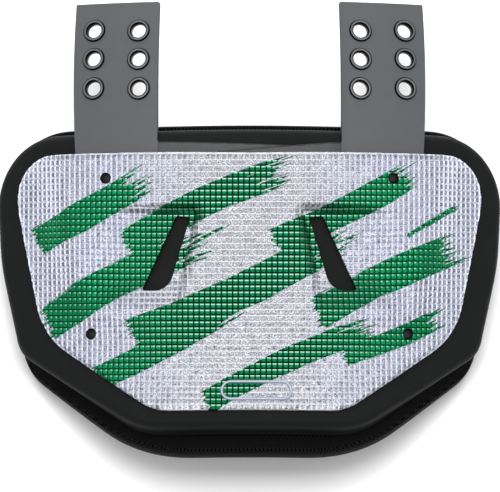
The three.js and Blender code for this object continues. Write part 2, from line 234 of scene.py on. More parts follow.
# Bent slab over grid lines, its back on every backStep-th line and its front on them all
def slabPiece(name, us, vs, backHeight, frontHeight, backStep=1, rowShift=lambda u: 0 * u):
    layers = []
    for step, height in ((1, frontHeight), (backStep, backHeight)):
        v, u = (grid.ravel() for grid in np.meshgrid(vs[::step], us[::step], indexing="ij"))
        v = v + rowShift(u)
        layers.append(np.column_stack([u, v, height(u, v)]))
    wide, tall = len(us), len(vs)
    backWide, backTall = len(us[::backStep]), len(vs[::backStep])
    top = np.arange(wide * tall).reshape(tall, wide).tolist()    # numbers of the points, row by row
    under = (wide * tall + np.arange(backWide * backTall).reshape(backTall, backWide)).tolist()
    faces = [[top[j][i], top[j][i + 1], top[j + 1][i + 1], top[j + 1][i]]
             for j in range(tall - 1) for i in range(wide - 1)]
    faces += [[under[j][i], under[j + 1][i], under[j + 1][i + 1], under[j][i + 1]]
              for j in range(backTall - 1) for i in range(backWide - 1)]
    for i in range(backWide - 1):
        run = slice(i * backStep, (i + 1) * backStep + 1)
        faces.append([under[0][i], under[0][i + 1]] + top[0][run][::-1])
        faces.append([under[-1][i + 1], under[-1][i]] + top[-1][run])
    for j in range(backTall - 1):
        run = slice(j * backStep, (j + 1) * backStep + 1)
        faces.append([under[j + 1][0], under[j][0]] + [row[0] for row in top[run]])
        faces.append([under[j][-1], under[j + 1][-1]] + [row[-1] for row in top[run]][::-1])
    return meshPiece(name, bendPoints(np.concatenate(layers)), faces)


# Closed body through rings (inset, depth) of one outline, with a disc over each end
def loftedPiece(name, outline, rings, frontHeight, backHeight, discs=26):
    count = len(outline)
    shares = np.linspace(0, 1, discs + 1)[1:-1]
    ends, tips = [], []
    for ring, height, order in ((rings[0], frontHeight, shares), (rings[-1], backHeight, shares[::-1])):
        rim = insetOutline(outline, ring[0])
        middle = np.array([0, rim[:, 1].mean()])
        discRings = [middle + (rim - middle) * share for share in order]
        ends.append([np.column_stack([disc, height(disc[:, 0], disc[:, 1])]) for disc in discRings])
        tips.append([(*middle, height(middle[:1], middle[1:])[0])])
    wall = [np.column_stack([insetOutline(outline, inset), np.full(count, depth)]) for inset, depth in rings]
    layers = ends[0] + wall + ends[1]
    points = np.concatenate(layers + tips)
    last = count * (len(layers) - 1)
    frontTip, backTip = last + count, last + count + 1
    faces = []
    for index in range(count):
        after = (index + 1) % count
        faces.append([frontTip, index, after])
        faces.append([backTip, last + after, last + index])
        for here in range(0, last, count):
            faces.append([here + index, here + count + index, here + count + after, here + after])
    piece = meshPiece(name, bendPoints(points), faces)

    # The wall laid out flat round the back, so that a fabric keeps its measure over the edge
    lengths = np.cumsum(np.hypot(*np.diff(rings, axis=0).T)[::-1])[::-1]
    insets = [rings[-1][0] - length for length in (*lengths, 0)]
    rolled = [np.column_stack([insetOutline(outline, inset), np.zeros(count)]) for inset in insets]
    storeValues(piece, "unrolled", np.concatenate(ends[0] + rolled + ends[1] + tips))
    return piece


# Turned part: profile (radius, height) in millimetres, closed on itself or ending on the axis
def turnedPiece(name, profile, matrix, segments=48):
    closed = profile[0][0] > 0
    points, faces, rings = [], [], []
    for radius, height in profile:
        if radius == 0:
            rings.append([len(points)] * segments)
            points.append((0, 0, height))
        else:
            rings.append(list(range(len(points), len(points) + segments)))
            points += [(radius * math.cos(angle), radius * math.sin(angle), height)
                       for angle in np.arange(segments) * 2 * math.pi / segments]
    pairs = list(zip(rings, rings[1:] + rings[:1])) if closed else list(zip(rings, rings[1:]))
    for low, high in pairs:
        for index in range(segments):
            after = (index + 1) % segments
            corners = [low[index], low[after], high[after], high[index]]
            faces.append(list(dict.fromkeys(corners)))
    piece = meshPiece(name, points, faces)
    piece.data.transform(matrix)
    return piece


# Round cutting tool at a place on the bent layers, from a low depth to a high one
def boreTool(u, v, radius, low, high):
    return turnedPiece("tool", [(0, low), (radius, low), (radius, high), (0, high)], seatMatrix(u, v, 0))


# Quarter of an ellipse from one (inset, depth) to another; it leaves the first along its inset
def quarterRound(start, end, steps):
    rounded = []
    for angle in np.linspace(0, math.pi / 2, steps + 1):
        inset = start[0] + (end[0] - start[0]) * math.sin(angle)
        rounded.append((inset, end[1] + (start[1] - end[1]) * math.cos(angle)))
    return rounded


def storeValues(piece, name, values, domain="POINT"):
    vector = np.ndim(values) == 2
    attribute = piece.data.attributes.new(name, "FLOAT_VECTOR" if vector else "FLOAT", domain)
    attribute.data.foreach_set("vector" if vector else "value", np.asarray(values, np.float32).ravel())


def flatPlaces(piece):
    places = np.empty(len(piece.data.vertices) * 3)
    piece.data.vertices.foreach_get("co", places)
    return unbendPoints(places)


def finishPiece(piece, material, nodes, sharpAngle=40):
    piece.data.materials.clear()
    piece.data.materials.append(material)
    piece.data.shade_smooth()
    piece.data.set_sharp_from_angle(angle=math.radians(sharpAngle))
    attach(piece, "root")
    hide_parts(*nodes)
    return piece


# sRGB hex to a linear colour
def hexColour(code):
    parts = [int(code[i:i + 2], 16) / 255 for i in (0, 2, 4)]
    return (*[c / 12.92 if c <= 0.04045 else ((c + 0.055) / 1.055) ** 2.4 for c in parts], 1)


# Adds a node with its settings, and links or values on its sockets, by name or in order, and gives an output
def addNode(tree, kind, sockets=(), output=0, **settings):
    node = tree.nodes.new("ShaderNode" + kind)
    for name, value in settings.items():
        setattr(node, name, value)
    pairs = sockets.items() if isinstance(sockets, dict) else enumerate(sockets)
    for socket, value in pairs:
        if isinstance(value, bpy.types.NodeSocket):
            tree.links.new(value, node.inputs[socket])
        else:
            node.inputs[socket].default_value = value
    return node.outputs[output]


def newMaterial(name):
    material = bpy.data.materials.new(name)
    material.use_nodes = True
    tree = material.node_tree
    return material, tree, tree.nodes["Principled BSDF"]


# One dry-brushed stroke: distance in millimetres outside its paint, below zero on it
brush = {
    "bristle": 1.5,          # mm, width of one bristle's streak
    "drag": 34,              # mm, length over which a streak changes
    "shuffle": (7.3, 3.1),   # moves the streaks on from one stroke to the next
    "startRagged": 0.10,     # share of the length that the bristles miss at the start and the end
    "endRagged": 0.55,
    "endPull": 1.5,          # how much of that the end is drawn in by
    "sideRagged": 1.6,       # mm
    "bow": 0.0011,           # bend of the stroke, mm for each square mm along it
}


def brushStroke(tree, place, stroke, seed):
    u, v, angle, length, width = stroke
    turn = (0, 0, math.radians(angle))
    local = addNode(tree, "Mapping", {"Vector": place, "Location": (u, v, 0), "Rotation": turn},
                    vector_type="TEXTURE")
    along, straight = addNode(tree, "SeparateXYZ", [local], slice(2))
    square = addNode(tree, "Math", [along, along], operation="MULTIPLY")
    bow = brush["bow"] * (1 if seed % 2 else -1)
    across = addNode(tree, "Math", [square, bow, straight], operation="MULTIPLY_ADD")
    grain = addNode(tree, "CombineXYZ", [along, across])
    pitch = (1 / brush["drag"], 1 / brush["bristle"], 0)
    shuffle = (seed * brush["shuffle"][0], seed * brush["shuffle"][1], 0)
    grain = addNode(tree, "VectorMath", [grain, pitch, shuffle], operation="MULTIPLY_ADD")
    bristles = addNode(tree, "TexNoise", {"Vector": grain, "Scale": 1, "Detail": 2, "Roughness": 0.6},
                       noise_dimensions="2D")
    startMiss, endMiss = length * brush["startRagged"], length * brush["endRagged"]
    end = addNode(tree, "Math", [bristles, -endMiss, along], operation="MULTIPLY_ADD")
    end = addNode(tree, "Math", [end, (length - brush["endPull"] * endMiss) / 2], operation="SUBTRACT")
    start = addNode(tree, "Math", [bristles, -startMiss, (startMiss - length) / 2], operation="MULTIPLY_ADD")
    start = addNode(tree, "Math", [start, along], operation="SUBTRACT")
    side = addNode(tree, "Math", [across], operation="ABSOLUTE")
    side = addNode(tree, "Math", [bristles, 2 * brush["sideRagged"], side], operation="MULTIPLY_ADD")
    side = addNode(tree, "Math", [side, width / 2], operation="SUBTRACT")
    ends = addNode(tree, "Math", [start, end], operation="MAXIMUM")
    return addNode(tree, "Math", [ends, side], operation="MAXIMUM")


# Shell's face: polycarbonate with a metallised film, embossed into small pillows, then screen printed in a
# clear green. It gives the eye a speckled silver with white ridges, and green tiles with dark seams and pale
# upper edges. The white ridges and the pale upper edges are painted highlights, the dark seams are painted
# shade, and the tones that differ from the middle to the sides are painted light.
film = {
    "fleck": 0.62,           # mm, the film's metal flecks, drawn about three times too coarse, to show
    "fleckRange": (0.41, 0.59),
    # each pair of colours is for the middle and for the sides; the side tones are painted light for faces
    # turned sideways
    "silverDark": ("4f546a", "636888"),    # in the middle, and at the sides, where it is bluer
    "silverLight": ("f5f7ff", "e3e8fd"),
    "silverRidgeHighlight": "fdfdff",
    "silverBead": "ccd1e2",
    "tileSpread": (0.72, 1.12),   # no two tiles have quite the same tone
    "sideTiles": (15, 95),   # mm from the middle line, over which the painted light passes from its middle to its side values
    "ridgeHighlight": (0.6, 0.74),    # share of the way from a tile's middle to its seam where the ridge's painted highlight comes in
    "columnHighlight": (0.6, 1), # painted highlights on the ridges, along the rows in the middle, and along the columns at the sides
    "rowHighlight": (1, 0.7),
    "inkSeamShade": ("012e14", "02502a"),     # painted shade in the seams, less dark at the sides
    "inkFace": ("04683e", "067e4c"),
    "inkLight": ("13895a", "1aa46c"),
    # share of the way to the seam over which its painted shade comes in
    "seamShade": (0.71, 0.88),
    "inkUpperHighlight": "b4f0d2",     # pale painted highlight along the tiles' upper edges
    "highlightFrom": (0.56, 0.78),
    "highlightTo": (0.83, 0.9),
    "highlightOuter": (-0.25, 0.05),   # the painted highlight, at the sides only on the inner part of an edge
    "inkEdge": 0.25,         # mm, how soft the print's edge is
    "roughness": 0.38,
    "coat": 0.05,            # the print's thin clear top coat
    "coatRoughness": 0.12,
}
strokes = [
    # u, v, angle, length, width
    (-90, 44, 27, 84, 21),
    (-72, 4, 25, 112, 24),
    (-44, -36, 28, 100, 19),
    (-22, 48, 24, 112, 21),
    (2, -4, 27, 150, 24),
    (26, -46, 25, 116, 18),
    (60, 44, 29, 100, 20),
    (86, 6, 26, 108, 22),
    (88, -32, 24, 72, 15),
    (-34, 20, 31, 66, 5),
    (44, 20, 21, 58, 5),
    (112, 40, 30, 46, 6),
    (-112, -18, 22, 44, 5),
]


def embossedSilverFilm():
    material, tree, surface = newMaterial("metallised film on polycarbonate, embossed and screen printed")
    place = addNode(tree, "Attribute", output="Vector", attribute_name="flat")
    tile = addNode(tree, "Attribute", output="Vector", attribute_name="tile")
    u = addNode(tree, "SeparateXYZ", [place])
    away = addNode(tree, "Math", [u], operation="ABSOLUTE")
    sideLightShare = addNode(tree, "MapRange", [away, *film["sideTiles"]], interpolation_type="SMOOTHSTEP")

    # Across and along each tile, from its middle out to its seams
    cell = addNode(tree, "VectorMath", [tile], operation="FRACTION")
    column, row = addNode(tree, "SeparateXYZ", [cell], slice(2))
    offsets, edges, ridgeHighlights = [], [], []
    for share, heights in ((column, film["columnHighlight"]), (row, film["rowHighlight"])):
        offsets.append(addNode(tree, "Math", [share, 0.5], operation="SUBTRACT"))
        away = addNode(tree, "Math", [offsets[-1]], operation="ABSOLUTE")
        edges.append(addNode(tree, "Math", [away, 2], operation="MULTIPLY"))
        ridgeHighlight = addNode(tree, "MapRange", [edges[-1], *film["ridgeHighlight"]], interpolation_type="SMOOTHSTEP")
        height = addNode(tree, "MapRange", [sideLightShare, 0, 1, *heights])
        ridgeHighlights.append(addNode(tree, "Math", [ridgeHighlight, height], operation="MULTIPLY"))
    edge = addNode(tree, "Math", edges, operation="MAXIMUM")
    ridgeHighlight = addNode(tree, "Math", ridgeHighlights, operation="MAXIMUM")

    # Silver: flecks, a tone for each tile, and bright ridges that are a painted highlight.
    # A colour mix has its colours at sockets 6 and 7.
    grain = {"Vector": place, "Scale": 1 / film["fleck"], "Detail": 2, "Roughness": 0.7}
    fleck = addNode(tree, "TexNoise", grain)
    fleck = addNode(tree, "MapRange", [fleck, *film["fleckRange"]])
    tones = {}
    for name in ("silverDark", "silverLight", "inkSeamShade", "inkFace", "inkLight"):
        middle, side = (hexColour(code) for code in film[name])
        tones[name] = addNode(tree, "Mix", {0: sideLightShare, 6: middle, 7: side}, 2, data_type="RGBA")
    silver = {0: fleck, 6: tones["silverDark"], 7: tones["silverLight"]}
    silver = addNode(tree, "Mix", silver, 2, data_type="RGBA")
    chance = addNode(tree, "VectorMath", [tile], operation="FLOOR")
    chance = addNode(tree, "TexWhiteNoise", {"Vector": chance}, noise_dimensions="2D")
    tone = addNode(tree, "MapRange", [chance, 0, 1, *film["tileSpread"]])
    silver = addNode(tree, "VectorMath", {0: silver, "Scale": tone}, operation="SCALE")
    # The ridges' painted highlight
    rim = {0: fleck, 6: tones["silverLight"], 7: hexColour(film["silverRidgeHighlight"])}
    rim = addNode(tree, "Mix", rim, 2, data_type="RGBA")
    silver = addNode(tree, "Mix", {0: ridgeHighlight, 6: silver, 7: rim}, 2, data_type="RGBA")

    # Ink: a pale painted highlight along the upper edges of the tiles, and painted shade in the seams
    outward = addNode(tree, "Math", [u], operation="SIGN")
    outward = addNode(tree, "Math", [outward, offsets[0]], operation="MULTIPLY")
    outer = addNode(tree, "MapRange", [outward, *film["highlightOuter"]], interpolation_type="SMOOTHSTEP")
    outer = addNode(tree, "Math", [outer, sideLightShare], operation="MULTIPLY")
    inner = addNode(tree, "Math", [1, outer], operation="SUBTRACT")
    upperHighlight, past = (addNode(tree, "MapRange", [row, *film[name]], interpolation_type="SMOOTHSTEP")
                  for name in ("highlightFrom", "highlightTo"))
    upperHighlight = addNode(tree, "Math", [upperHighlight, past], operation="SUBTRACT")
    upperHighlight = addNode(tree, "Math", [upperHighlight, inner], operation="MULTIPLY")
    seamShade = addNode(tree, "MapRange", [edge, *film["seamShade"]], interpolation_type="SMOOTHSTEP")
    ink = {0: fleck, 6: tones["inkFace"], 7: tones["inkLight"]}
    ink = addNode(tree, "Mix", ink, 2, data_type="RGBA")
    ink = addNode(tree, "Mix", {0: upperHighlight, 6: ink, 7: hexColour(film["inkUpperHighlight"])}, 2, data_type="RGBA")
    ink = addNode(tree, "Mix", {0: seamShade, 6: ink, 7: tones["inkSeamShade"]}, 2, data_type="RGBA")

    # Print the strokes, and leave the badge's bead bare
    paints = [brushStroke(tree, place, stroke, seed) for seed, stroke in enumerate(strokes)]
    nearest = paints[0]
    for paint in paints[1:]:
        nearest = addNode(tree, "Math", [nearest, paint], operation="MINIMUM")
    printed = addNode(tree, "MapRange", [nearest, film["inkEdge"], -film["inkEdge"]])
    bead = addNode(tree, "Attribute", output="Fac", attribute_name="bead")
    colour = addNode(tree, "Mix", {0: printed, 6: silver, 7: ink}, 2, data_type="RGBA")
    colour = addNode(tree, "Mix", {0: bead, 6: colour, 7: hexColour(film["silverBead"])}, 2, data_type="RGBA")
    tree.links.new(colour, surface.inputs["Base Color"])
    surface.inputs["Metallic"].default_value = 1
    surface.inputs["Roughness"].default_value = film["roughness"]
    surface.inputs["Coat Weight"].default_value = film["coat"]
    surface.inputs["Coat Roughness"].default_value = film["coatRoughness"]
    return material


# Shell: formed over the straps, with a scoop round each vent and a raised bare badge frame
shell = {
    "thickness": 2.5,
    "rise": 4.9,             # how far its middle stands off the foam, so that the straps pass below
    "corners": [(142.8, 78, 23), (142.5, 47.8, 40), (125.7, -28.8, 48), (55, -77.9, 30)],
    "topDip": (0, 75.1, 400),
    "fades": [36, 36, 50, 70],              # breadth of the rise along each edge, clockwise from the right
    "vent": [(42.6, 38.6, 1.5), (63.2, -5.4, 1.4), (47.6, -6.3, 11), (34.6, 37.4, 1.2)],
    "scoopDepth": 4.7,
    "scoopFoot": ((31, 44), (42.5, -12)),   # foot of the inner wall, and the wall's breadth
    "scoopWall": 6,
    "scoopTop": (47, 41),                   # v of the upper wall's crest and foot
    "scoopOuter": (10, 42),                 # mm past the vent over which the scoop runs out
    "scoopLower": (-20, 2),                 # v over which it runs out below
    "tileSize": (3.2, 3.55),
    "tileRelief": 0.46,
    "tileSteps": (0, 0.16, 0.5, 0.84),      # grid lines over a tile, and its height on them
    "tileCrown": (0, 0.92, 1, 0.92),
    "tileFade": (0.4, 3.2),                 # mm inside the edge over which the tiles rise
    "rowLevel": math.tan(math.radians(8)),  # climb of the rows towards the sides, so that they look level
    "edgeRoll": 2.6,                        # the edge rolls over within this breadth, down by the drop
    "edgeDrop": 1.3,
    "half": (147, 88),                      # the sheet before it is trimmed
    "cutReach": 30,
    "sharpAngle": 32,
}
badge = {
    "u": 4,
    "v": -66.3,
    "length": 41.5,
    "height": 12.2,
    "rim": 0.9,              # radius of the bead
    "rise": 0.5,
    "sides": 12,
    "roundShare": 0.98,      # of half the height, so that the ends keep a short straight side
}


# Distance inside the edge between two corners, which run clockwise
def insideEdge(u, v, start, end):
    run = np.array([end[0] - start[0], end[1] - start[1]], float)
    run /= np.linalg.norm(run)
    return (u - start[0]) * run[1] - (v - start[1]) * run[0]


def shellBack(u, v):
    across = np.abs(u)
    corners = shell["corners"] + [(-shell["corners"][-1][0], shell["corners"][-1][1])]
    share = 1
    for index, width in enumerate(shell["fades"]):
        share = share * smoothBetween(insideEdge(across, v, corners[index], corners[index + 1]), 0, width)
    pastVent = -insideEdge(across, v, shell["vent"][0], shell["vent"][1])
    crest, foot = shell["scoopTop"]
    scoop = np.clip((crest - v) / (crest - foot), 0, 1) ** 2
    scoop = scoop * np.clip(1 - insideEdge(across, v, *shell["scoopFoot"]) / shell["scoopWall"], 0, 1) ** 2
    scoop = scoop * (1 - smoothBetween(pastVent, *shell["scoopOuter"]))
    scoop = scoop * smoothBetween(v, *shell["scoopLower"])
    return layerGap + np.maximum(0, shell["rise"] * share - shell["scoopDepth"] * scoop)


def shellFace(u, v):
    return shellBack(u, v) + shell["thickness"]


def tileRowShift(u):
    return shell["rowLevel"] * mould["wrapRadius"] * (1 - np.cos(u / mould["wrapRadius"]))


# Column and row of the pillow tiles, with parts
def tilePlaces(u, v):
    return u / shell["tileSize"][0], (v - tileRowShift(u)) / shell["tileSize"][1]


# Crown of the pillow tiles, 0 in the seams and 1 on top
def tileCrown(u, v):
    steps, crown = (*shell["tileSteps"], 1), (*shell["tileCrown"], 0)
    shares = [np.interp(np.mod(place, 1), steps, crown) for place in tilePlaces(u, v)]
    return shares[0] * shares[1]


def badgePath():
    halfLength, halfHeight = badge["length"] / 2 - badge["rim"], badge["height"] / 2 - badge["rim"]
    rounding = halfHeight * badge["roundShare"]
    corners = [(badge["u"] + su * halfLength, badge["v"] + sv * halfHeight, rounding)
               for su, sv in ((1, 1), (1, -1), (-1, -1), (-1, 1))]
    return roundedOutline(corners, step=0.5, turn=math.radians(8))


# Rounded bead swept round a pill outline, partly sunk in the shell's face
def badgeFrame(path):
    sides, count = badge["sides"], len(path)
    rings = []
    for angle in np.arange(sides) * 2 * math.pi / sides:
        ring = insetOutline(path, badge["rim"] * math.cos(angle))
        height = shellFace(path[:, 0], path[:, 1]) + badge["rise"] + badge["rim"] * math.sin(angle)
        rings.append(np.column_stack([ring, height]))
    faces = []
    for side in range(sides):
        here, there = side * count, (side + 1) % sides * count
        for index in range(count):
            after = (index + 1) % count
            faces.append([here + index, there + index, there + after, here + after])
    return meshPiece("tool", bendPoints(np.concatenate(rings)), faces)


def makeShell():
    corners = [shell["topDip"], *shell["corners"], *mirrored(shell["corners"])]
    outline = roundedOutline(corners, step=1.2)
    lines = []
    for half, size in zip(shell["half"], shell["tileSize"]):
        count = math.ceil(half / size)
        steps = [(index + step) * size for index in range(-count, count) for step in shell["tileSteps"]]
        lines.append(np.array(steps + [count * size]))

    def front(u, v):
        depth = depthInside(u, v, outline)
        lean = 1 - np.clip(depth / shell["edgeRoll"], 0, 1)
        drop = shell["edgeDrop"] * (1 - np.sqrt(1 - lean ** 2))
        relief = shell["tileRelief"] * tileCrown(u, v) * smoothBetween(depth, *shell["tileFade"])
        return shellFace(u, v) + relief - drop

    piece = slabPiece("shell_face", *lines, shellBack, front, len(shell["tileSteps"]), tileRowShift)
    shapePiece(piece, "INTERSECT", prismTool(outline))
    vents = [prismTool(roundedOutline(vent, step=1.5)) for vent in (shell["vent"], mirrored(shell["vent"]))]
    radius, reach = rivet["head"] + layerGap, shell["cutReach"]
    holes = [boreTool(u, v, radius, -reach, reach) for u, v in rivetPlaces()]
    shapePiece(piece, "DIFFERENCE", *vents, *holes)
    path = badgePath()
    shapePiece(splitFaces(piece), "UNION", splitFaces(badgeFrame(path)))

    # Mark the faces of the bead, which stay bare silver
    middles = np.empty(len(piece.data.polygons) * 3)
    piece.data.polygons.foreach_get("center", middles)
    middles = unbendPoints(middles)[:, :2]
    onBead = (np.abs(middles - (badge["u"], badge["v"])) < (badge["length"], badge["height"])).all(axis=1)
    onBead[onBead] = depthInside(*middles[onBead].T, path, outside=True) < badge["rim"]
    storeValues(piece, "bead", onBead, "FACE")
    flat = flatPlaces(piece)
    storeValues(piece, "flat", flat)
    storeValues(piece, "tile", np.column_stack([*tilePlaces(flat[:, 0], flat[:, 1]), np.zeros(len(flat))]))
    return finishPiece(piece, embossedSilverFilm(), ["shell"], shell["sharpAngle"])


# Front foam: compression-moulded EVA, a smooth skin with a fine dull pebble and soft broad highlights
foam = {
    "corners": [(162.5, 90.6, 41), (157.6, 15.3, 125), (144, -38, 20), (64.4, -87.3, 48)],
    "thickness": 14,
    "edgeInset": 5,          # breadth and depth of the rounded front edge
    "edgeDepth": 5,
    "sideDepth": -9,
    "lipDepth": -12.8,       # fine lip where the mould parted, as rings (inset, depth from here)
    "lipRings": [(0, 0.9), (-0.5, 0.3), (-0.5, -0.3), (0.3, -0.8)],
    "backInset": 1.5,
    "boreTop": 30,
    "skin": "0e0f0f",
    "skinLight": "131414",
    "cloud": 22,             # mm, patches that are a little lighter
    "pebble": 0.8,           # mm, the skin's grain, and its bump: strength, and depth in mm
    "bump": (0.4, 0.1),
    "gloss": 0.15,           # Specular IOR Level; the skin's open pores swallow most of the gloss
    "roughness": 0.6,
}


def mouldedEva():
    material, tree, surface = newMaterial("EVA foam, compression moulded")
    place = addNode(tree, "Attribute", output="Vector", attribute_name="flat")
    grain = {"Vector": place, "Scale": 1 / foam["pebble"], "Detail": 3, "Roughness": 0.6}
    pebble = addNode(tree, "TexNoise", grain)
    cloud = addNode(tree, "TexNoise", {"Vector": place, "Scale": 1 / foam["cloud"], "Detail": 2})
    skin = {0: cloud, 6: hexColour(foam["skin"]), 7: hexColour(foam["skinLight"])}
    colour = addNode(tree, "Mix", skin, 2, data_type="RGBA")
    strength, depth = foam["bump"]
    bump = addNode(tree, "Bump", {"Strength": strength, "Distance": depth * mm, "Height": pebble})
    tree.links.new(colour, surface.inputs["Base Color"])
    tree.links.new(bump, surface.inputs["Normal"])
    surface.inputs["Roughness"].default_value = foam["roughness"]
    surface.inputs["Specular IOR Level"].default_value = foam["gloss"]
    return material


def makeFoam():
    outline = roundedOutline([*foam["corners"], *mirrored(foam["corners"])], step=2)
    back = -foam["thickness"]
    rings = quarterRound((foam["edgeInset"], 0), (0, -foam["edgeDepth"]), 8)
    rings.append((0, foam["sideDepth"]))
    rings += [(inset, foam["lipDepth"] + depth) for inset, depth in foam["lipRings"]]
    rings.append((foam["backInset"], back))
    piece = loftedPiece("front_foam_skin", outline, rings, lambda u, v: 0 * u, lambda u, v: 0 * u + back)
    radius, floor = rivet["shank"] + layerGap, -rivet["reach"] - layerGap
    holes = [boreTool(u, v, radius, floor, foam["boreTop"]) for u, v in rivetPlaces()]
    shapePiece(splitFaces(piece), "DIFFERENCE", *holes)
    storeValues(piece, "flat", flatPlaces(piece))
    finishPiece(piece, mouldedEva(), ["front_foam"])
    return piece


# Back pad: soft foam in warp-knitted spacer mesh, so near black with a fine net of dull yarn over dark holes;
# the holes are darker than the yarn with painted shade
pad = {
    "corners": [(176, 96.2, 50), (165, 17, 126), (146.8, -47, 35), (66, -99, 102)],
    "front": -14.3,
    "edgeThickness": 13,
    "crown": 4,
    "crownReach": 60,
    "widest": -20.5,         # depth of the seam
    "frontInset": 2.5,
    "backInset": 12,
    "slack": 1,              # mm that the back is cut lower than the swollen pad
    "pressure": 4,
    "frames": 20,
    "gluedBehind": 0.3,      # mm behind the seam that is still held
    "swell": 3,              # mm, the most that a point moves while it swells
    "core": 60,              # mm round the middle, where the mesh is too narrow to swell by itself
    "smoothing": 40,
    "yarn": "070708",
    "hole": "010101",
    "cell": (2.4, 2.6),      # mm, the knit's pitch across and along, drawn about a half too coarse
    "holeEdge": (0.05, 0.45),
    "bump": (0.6, 0.3),      # strength, and depth in mm
    "gloss": 0.12,           # Specular IOR Level of the yarn; light that enters the holes stays there
    "roughness": 0.6,
    "ior": 1.57,
}


def padBack(u, v):
    edges = (pad["corners"][0][0] - np.abs(u), pad["corners"][0][1] - v, v - pad["corners"][3][1])
    crown = 1
    for edge in edges:
        crown = crown * smoothBetween(edge, 0, pad["crownReach"])
    return pad["front"] - pad["edgeThickness"] - pad["crown"] * crown


def knittedMesh():
    material, tree, surface = newMaterial("polyester spacer mesh, warp knitted")
    place = addNode(tree, "Attribute", output="Vector", attribute_name="unrolled")
    waves = []
    for measure, pitch in zip(addNode(tree, "SeparateXYZ", [place], slice(2)), pad["cell"]):
        turn = addNode(tree, "Math", [measure, 2 * math.pi / pitch], operation="MULTIPLY")
        waves.append(addNode(tree, "Math", [turn], operation="COSINE"))
    holes = addNode(tree, "Math", waves, operation="MULTIPLY")
    holes = addNode(tree, "MapRange", [holes, *pad["holeEdge"]], interpolation_type="SMOOTHSTEP")
    # Painted shade in the holes
    knit = {0: holes, 6: hexColour(pad["yarn"]), 7: hexColour(pad["hole"])}
    colour = addNode(tree, "Mix", knit, 2, data_type="RGBA")
    strength, depth = pad["bump"]
    bump = addNode(tree, "Bump", {"Strength": strength, "Distance": depth * mm, "Height": holes}, invert=True)
    gloss = addNode(tree, "MapRange", [holes, 0, 1, pad["gloss"], 0])
    tree.links.new(colour, surface.inputs["Base Color"])
    tree.links.new(bump, surface.inputs["Normal"])
    tree.links.new(gloss, surface.inputs["Specular IOR Level"])
    surface.inputs["Roughness"].default_value = pad["roughness"]
    surface.inputs["IOR"].default_value = pad["ior"]
    return material


# Blows the back of the cover up like a cushion; all before its seam, glued to the foam, stays where it is
def swellPad(piece):
    flat = flatPlaces(piece)
    before = np.array([vertex.co for vertex in piece.data.vertices])
    held = flat[:, 2] > pad["widest"] - pad["gluedBehind"]
    glued = piece.vertex_groups.new(name="glued")
    glued.add(np.flatnonzero(held).tolist(), 1, "REPLACE")
    cloth = piece.modifiers.new("swell", "CLOTH")
    cloth.settings.vertex_group_mass = "glued"
    cloth.settings.use_pressure = True
    cloth.settings.uniform_pressure_force = pad["pressure"]
    cloth.settings.effector_weights.gravity = 0
    for step in range(1, pad["frames"] + 1):
        scene.frame_set(step)
    swollen = piece.evaluated_get(bpy.context.evaluated_depsgraph_get())
    moves = np.array([vertex.co for vertex in swollen.data.vertices]) - before
    piece.modifiers.clear()
    scene.frame_set(1)
    normals = np.array([vertex.normal for vertex in piece.data.vertices])
    swell = np.clip(np.sum(moves * normals, axis=1), 0, pad["swell"] * mm)
    swell[np.hypot(flat[:, 0], flat[:, 1]) < pad["core"]] = swell.max()
    links = np.array([edge.vertices for edge in piece.data.edges])
    links = np.concatenate([links, links[:, ::-1]])
    for turn in range(pad["smoothing"]):    # the foam inside evens out the creases of the thin sheet
        swell = np.bincount(links[:, 0], swell[links[:, 1]]) / np.bincount(links[:, 0])
        swell[held] = 0
    print("pad swells by up to", round(swell.max() / mm, 1), "mm")
    places = before + normals * swell[:, None]
    places[:, 2] = np.maximum(places[:, 2], 0)    # it lies on the floor
    piece.data.vertices.foreach_set("co", places.ravel())
    piece.data.update()


def makePad():
    outline = roundedOutline([*pad["corners"], *mirrored(pad["corners"])], step=5)
    slack = pad["slack"]
    rings = quarterRound((pad["frontInset"], pad["front"]), (0, pad["widest"]), 6)
    backRim = (pad["backInset"], pad["front"] - pad["edgeThickness"] + slack)
    rings += quarterRound(backRim, (0, pad["widest"]), 8)[::-1][1:]
    piece = loftedPiece("back_pad_cover", outline, rings, lambda u, v: 0 * u + pad["front"],
                        lambda u, v: padBack(u, v) + slack, discs=16)
    swellPad(piece)
    piece.modifiers.new("smooth", "SUBSURF").levels = 1
    smoothed = piece.evaluated_get(bpy.context.evaluated_depsgraph_get())
    piece.data = bpy.data.meshes.new_from_object(smoothed)
    piece.modifiers.clear()
    piece.data.name = piece.name
    finishPiece(piece, knittedMesh(), ["back_pad"])
    return piece


# Straps: injection-moulded TPU, a mid grey that is even and satin with a faint mottle
strap = {
    "thickness": 2,
    "tip": 170,
    "tipDrop": 0.6,
    "tipOuter": 109.7,
    "tipInner": 55.2,
    "foot": 50,
    "footOuter": 103.6,
    "footInner": 53.8,
    "armReach": 40,
    "armBottom": 58,
    "armTops": {"left": (83.4, 80), "right": (82.9, 74.4)},
    "armRamp": (58, 45),     # u over which the right arm climbs over the left one
    "armStep": 0.5,          # the arm is this much thinner than the strap, which leaves an edge between them
    "stepWidth": 0.1,
    "rounds": (0.8, 1.8, 0.8, 3, 3, 5),
    "chamfer": 0.5,
    "grid": 2.5,
    "spare": (4, 5),         # mm of sheet beyond the low and high ends, before it is trimmed
    "cutReach": 20,
    "grey": "494b4d",
    "mottle": "444648",
    "mottleSize": 9,         # mm
    "armGrey": "3a3c3d",
    "edgeShadeGrey": "1c1d1e",    # painted shade along the edges
    "edgeShadeBlend": (0.25, 0.55),   # mm inside the edge
    "armEdgeShade": 0.6,          # mm, by which the painted shade is broader along the arms
    "grain": 0.5,            # mm, moulded texture, and its bump: strength, and depth in mm
    "bump": (0.2, 0.05),
    "roughness": 0.45,
    "ior": 1.5,
}


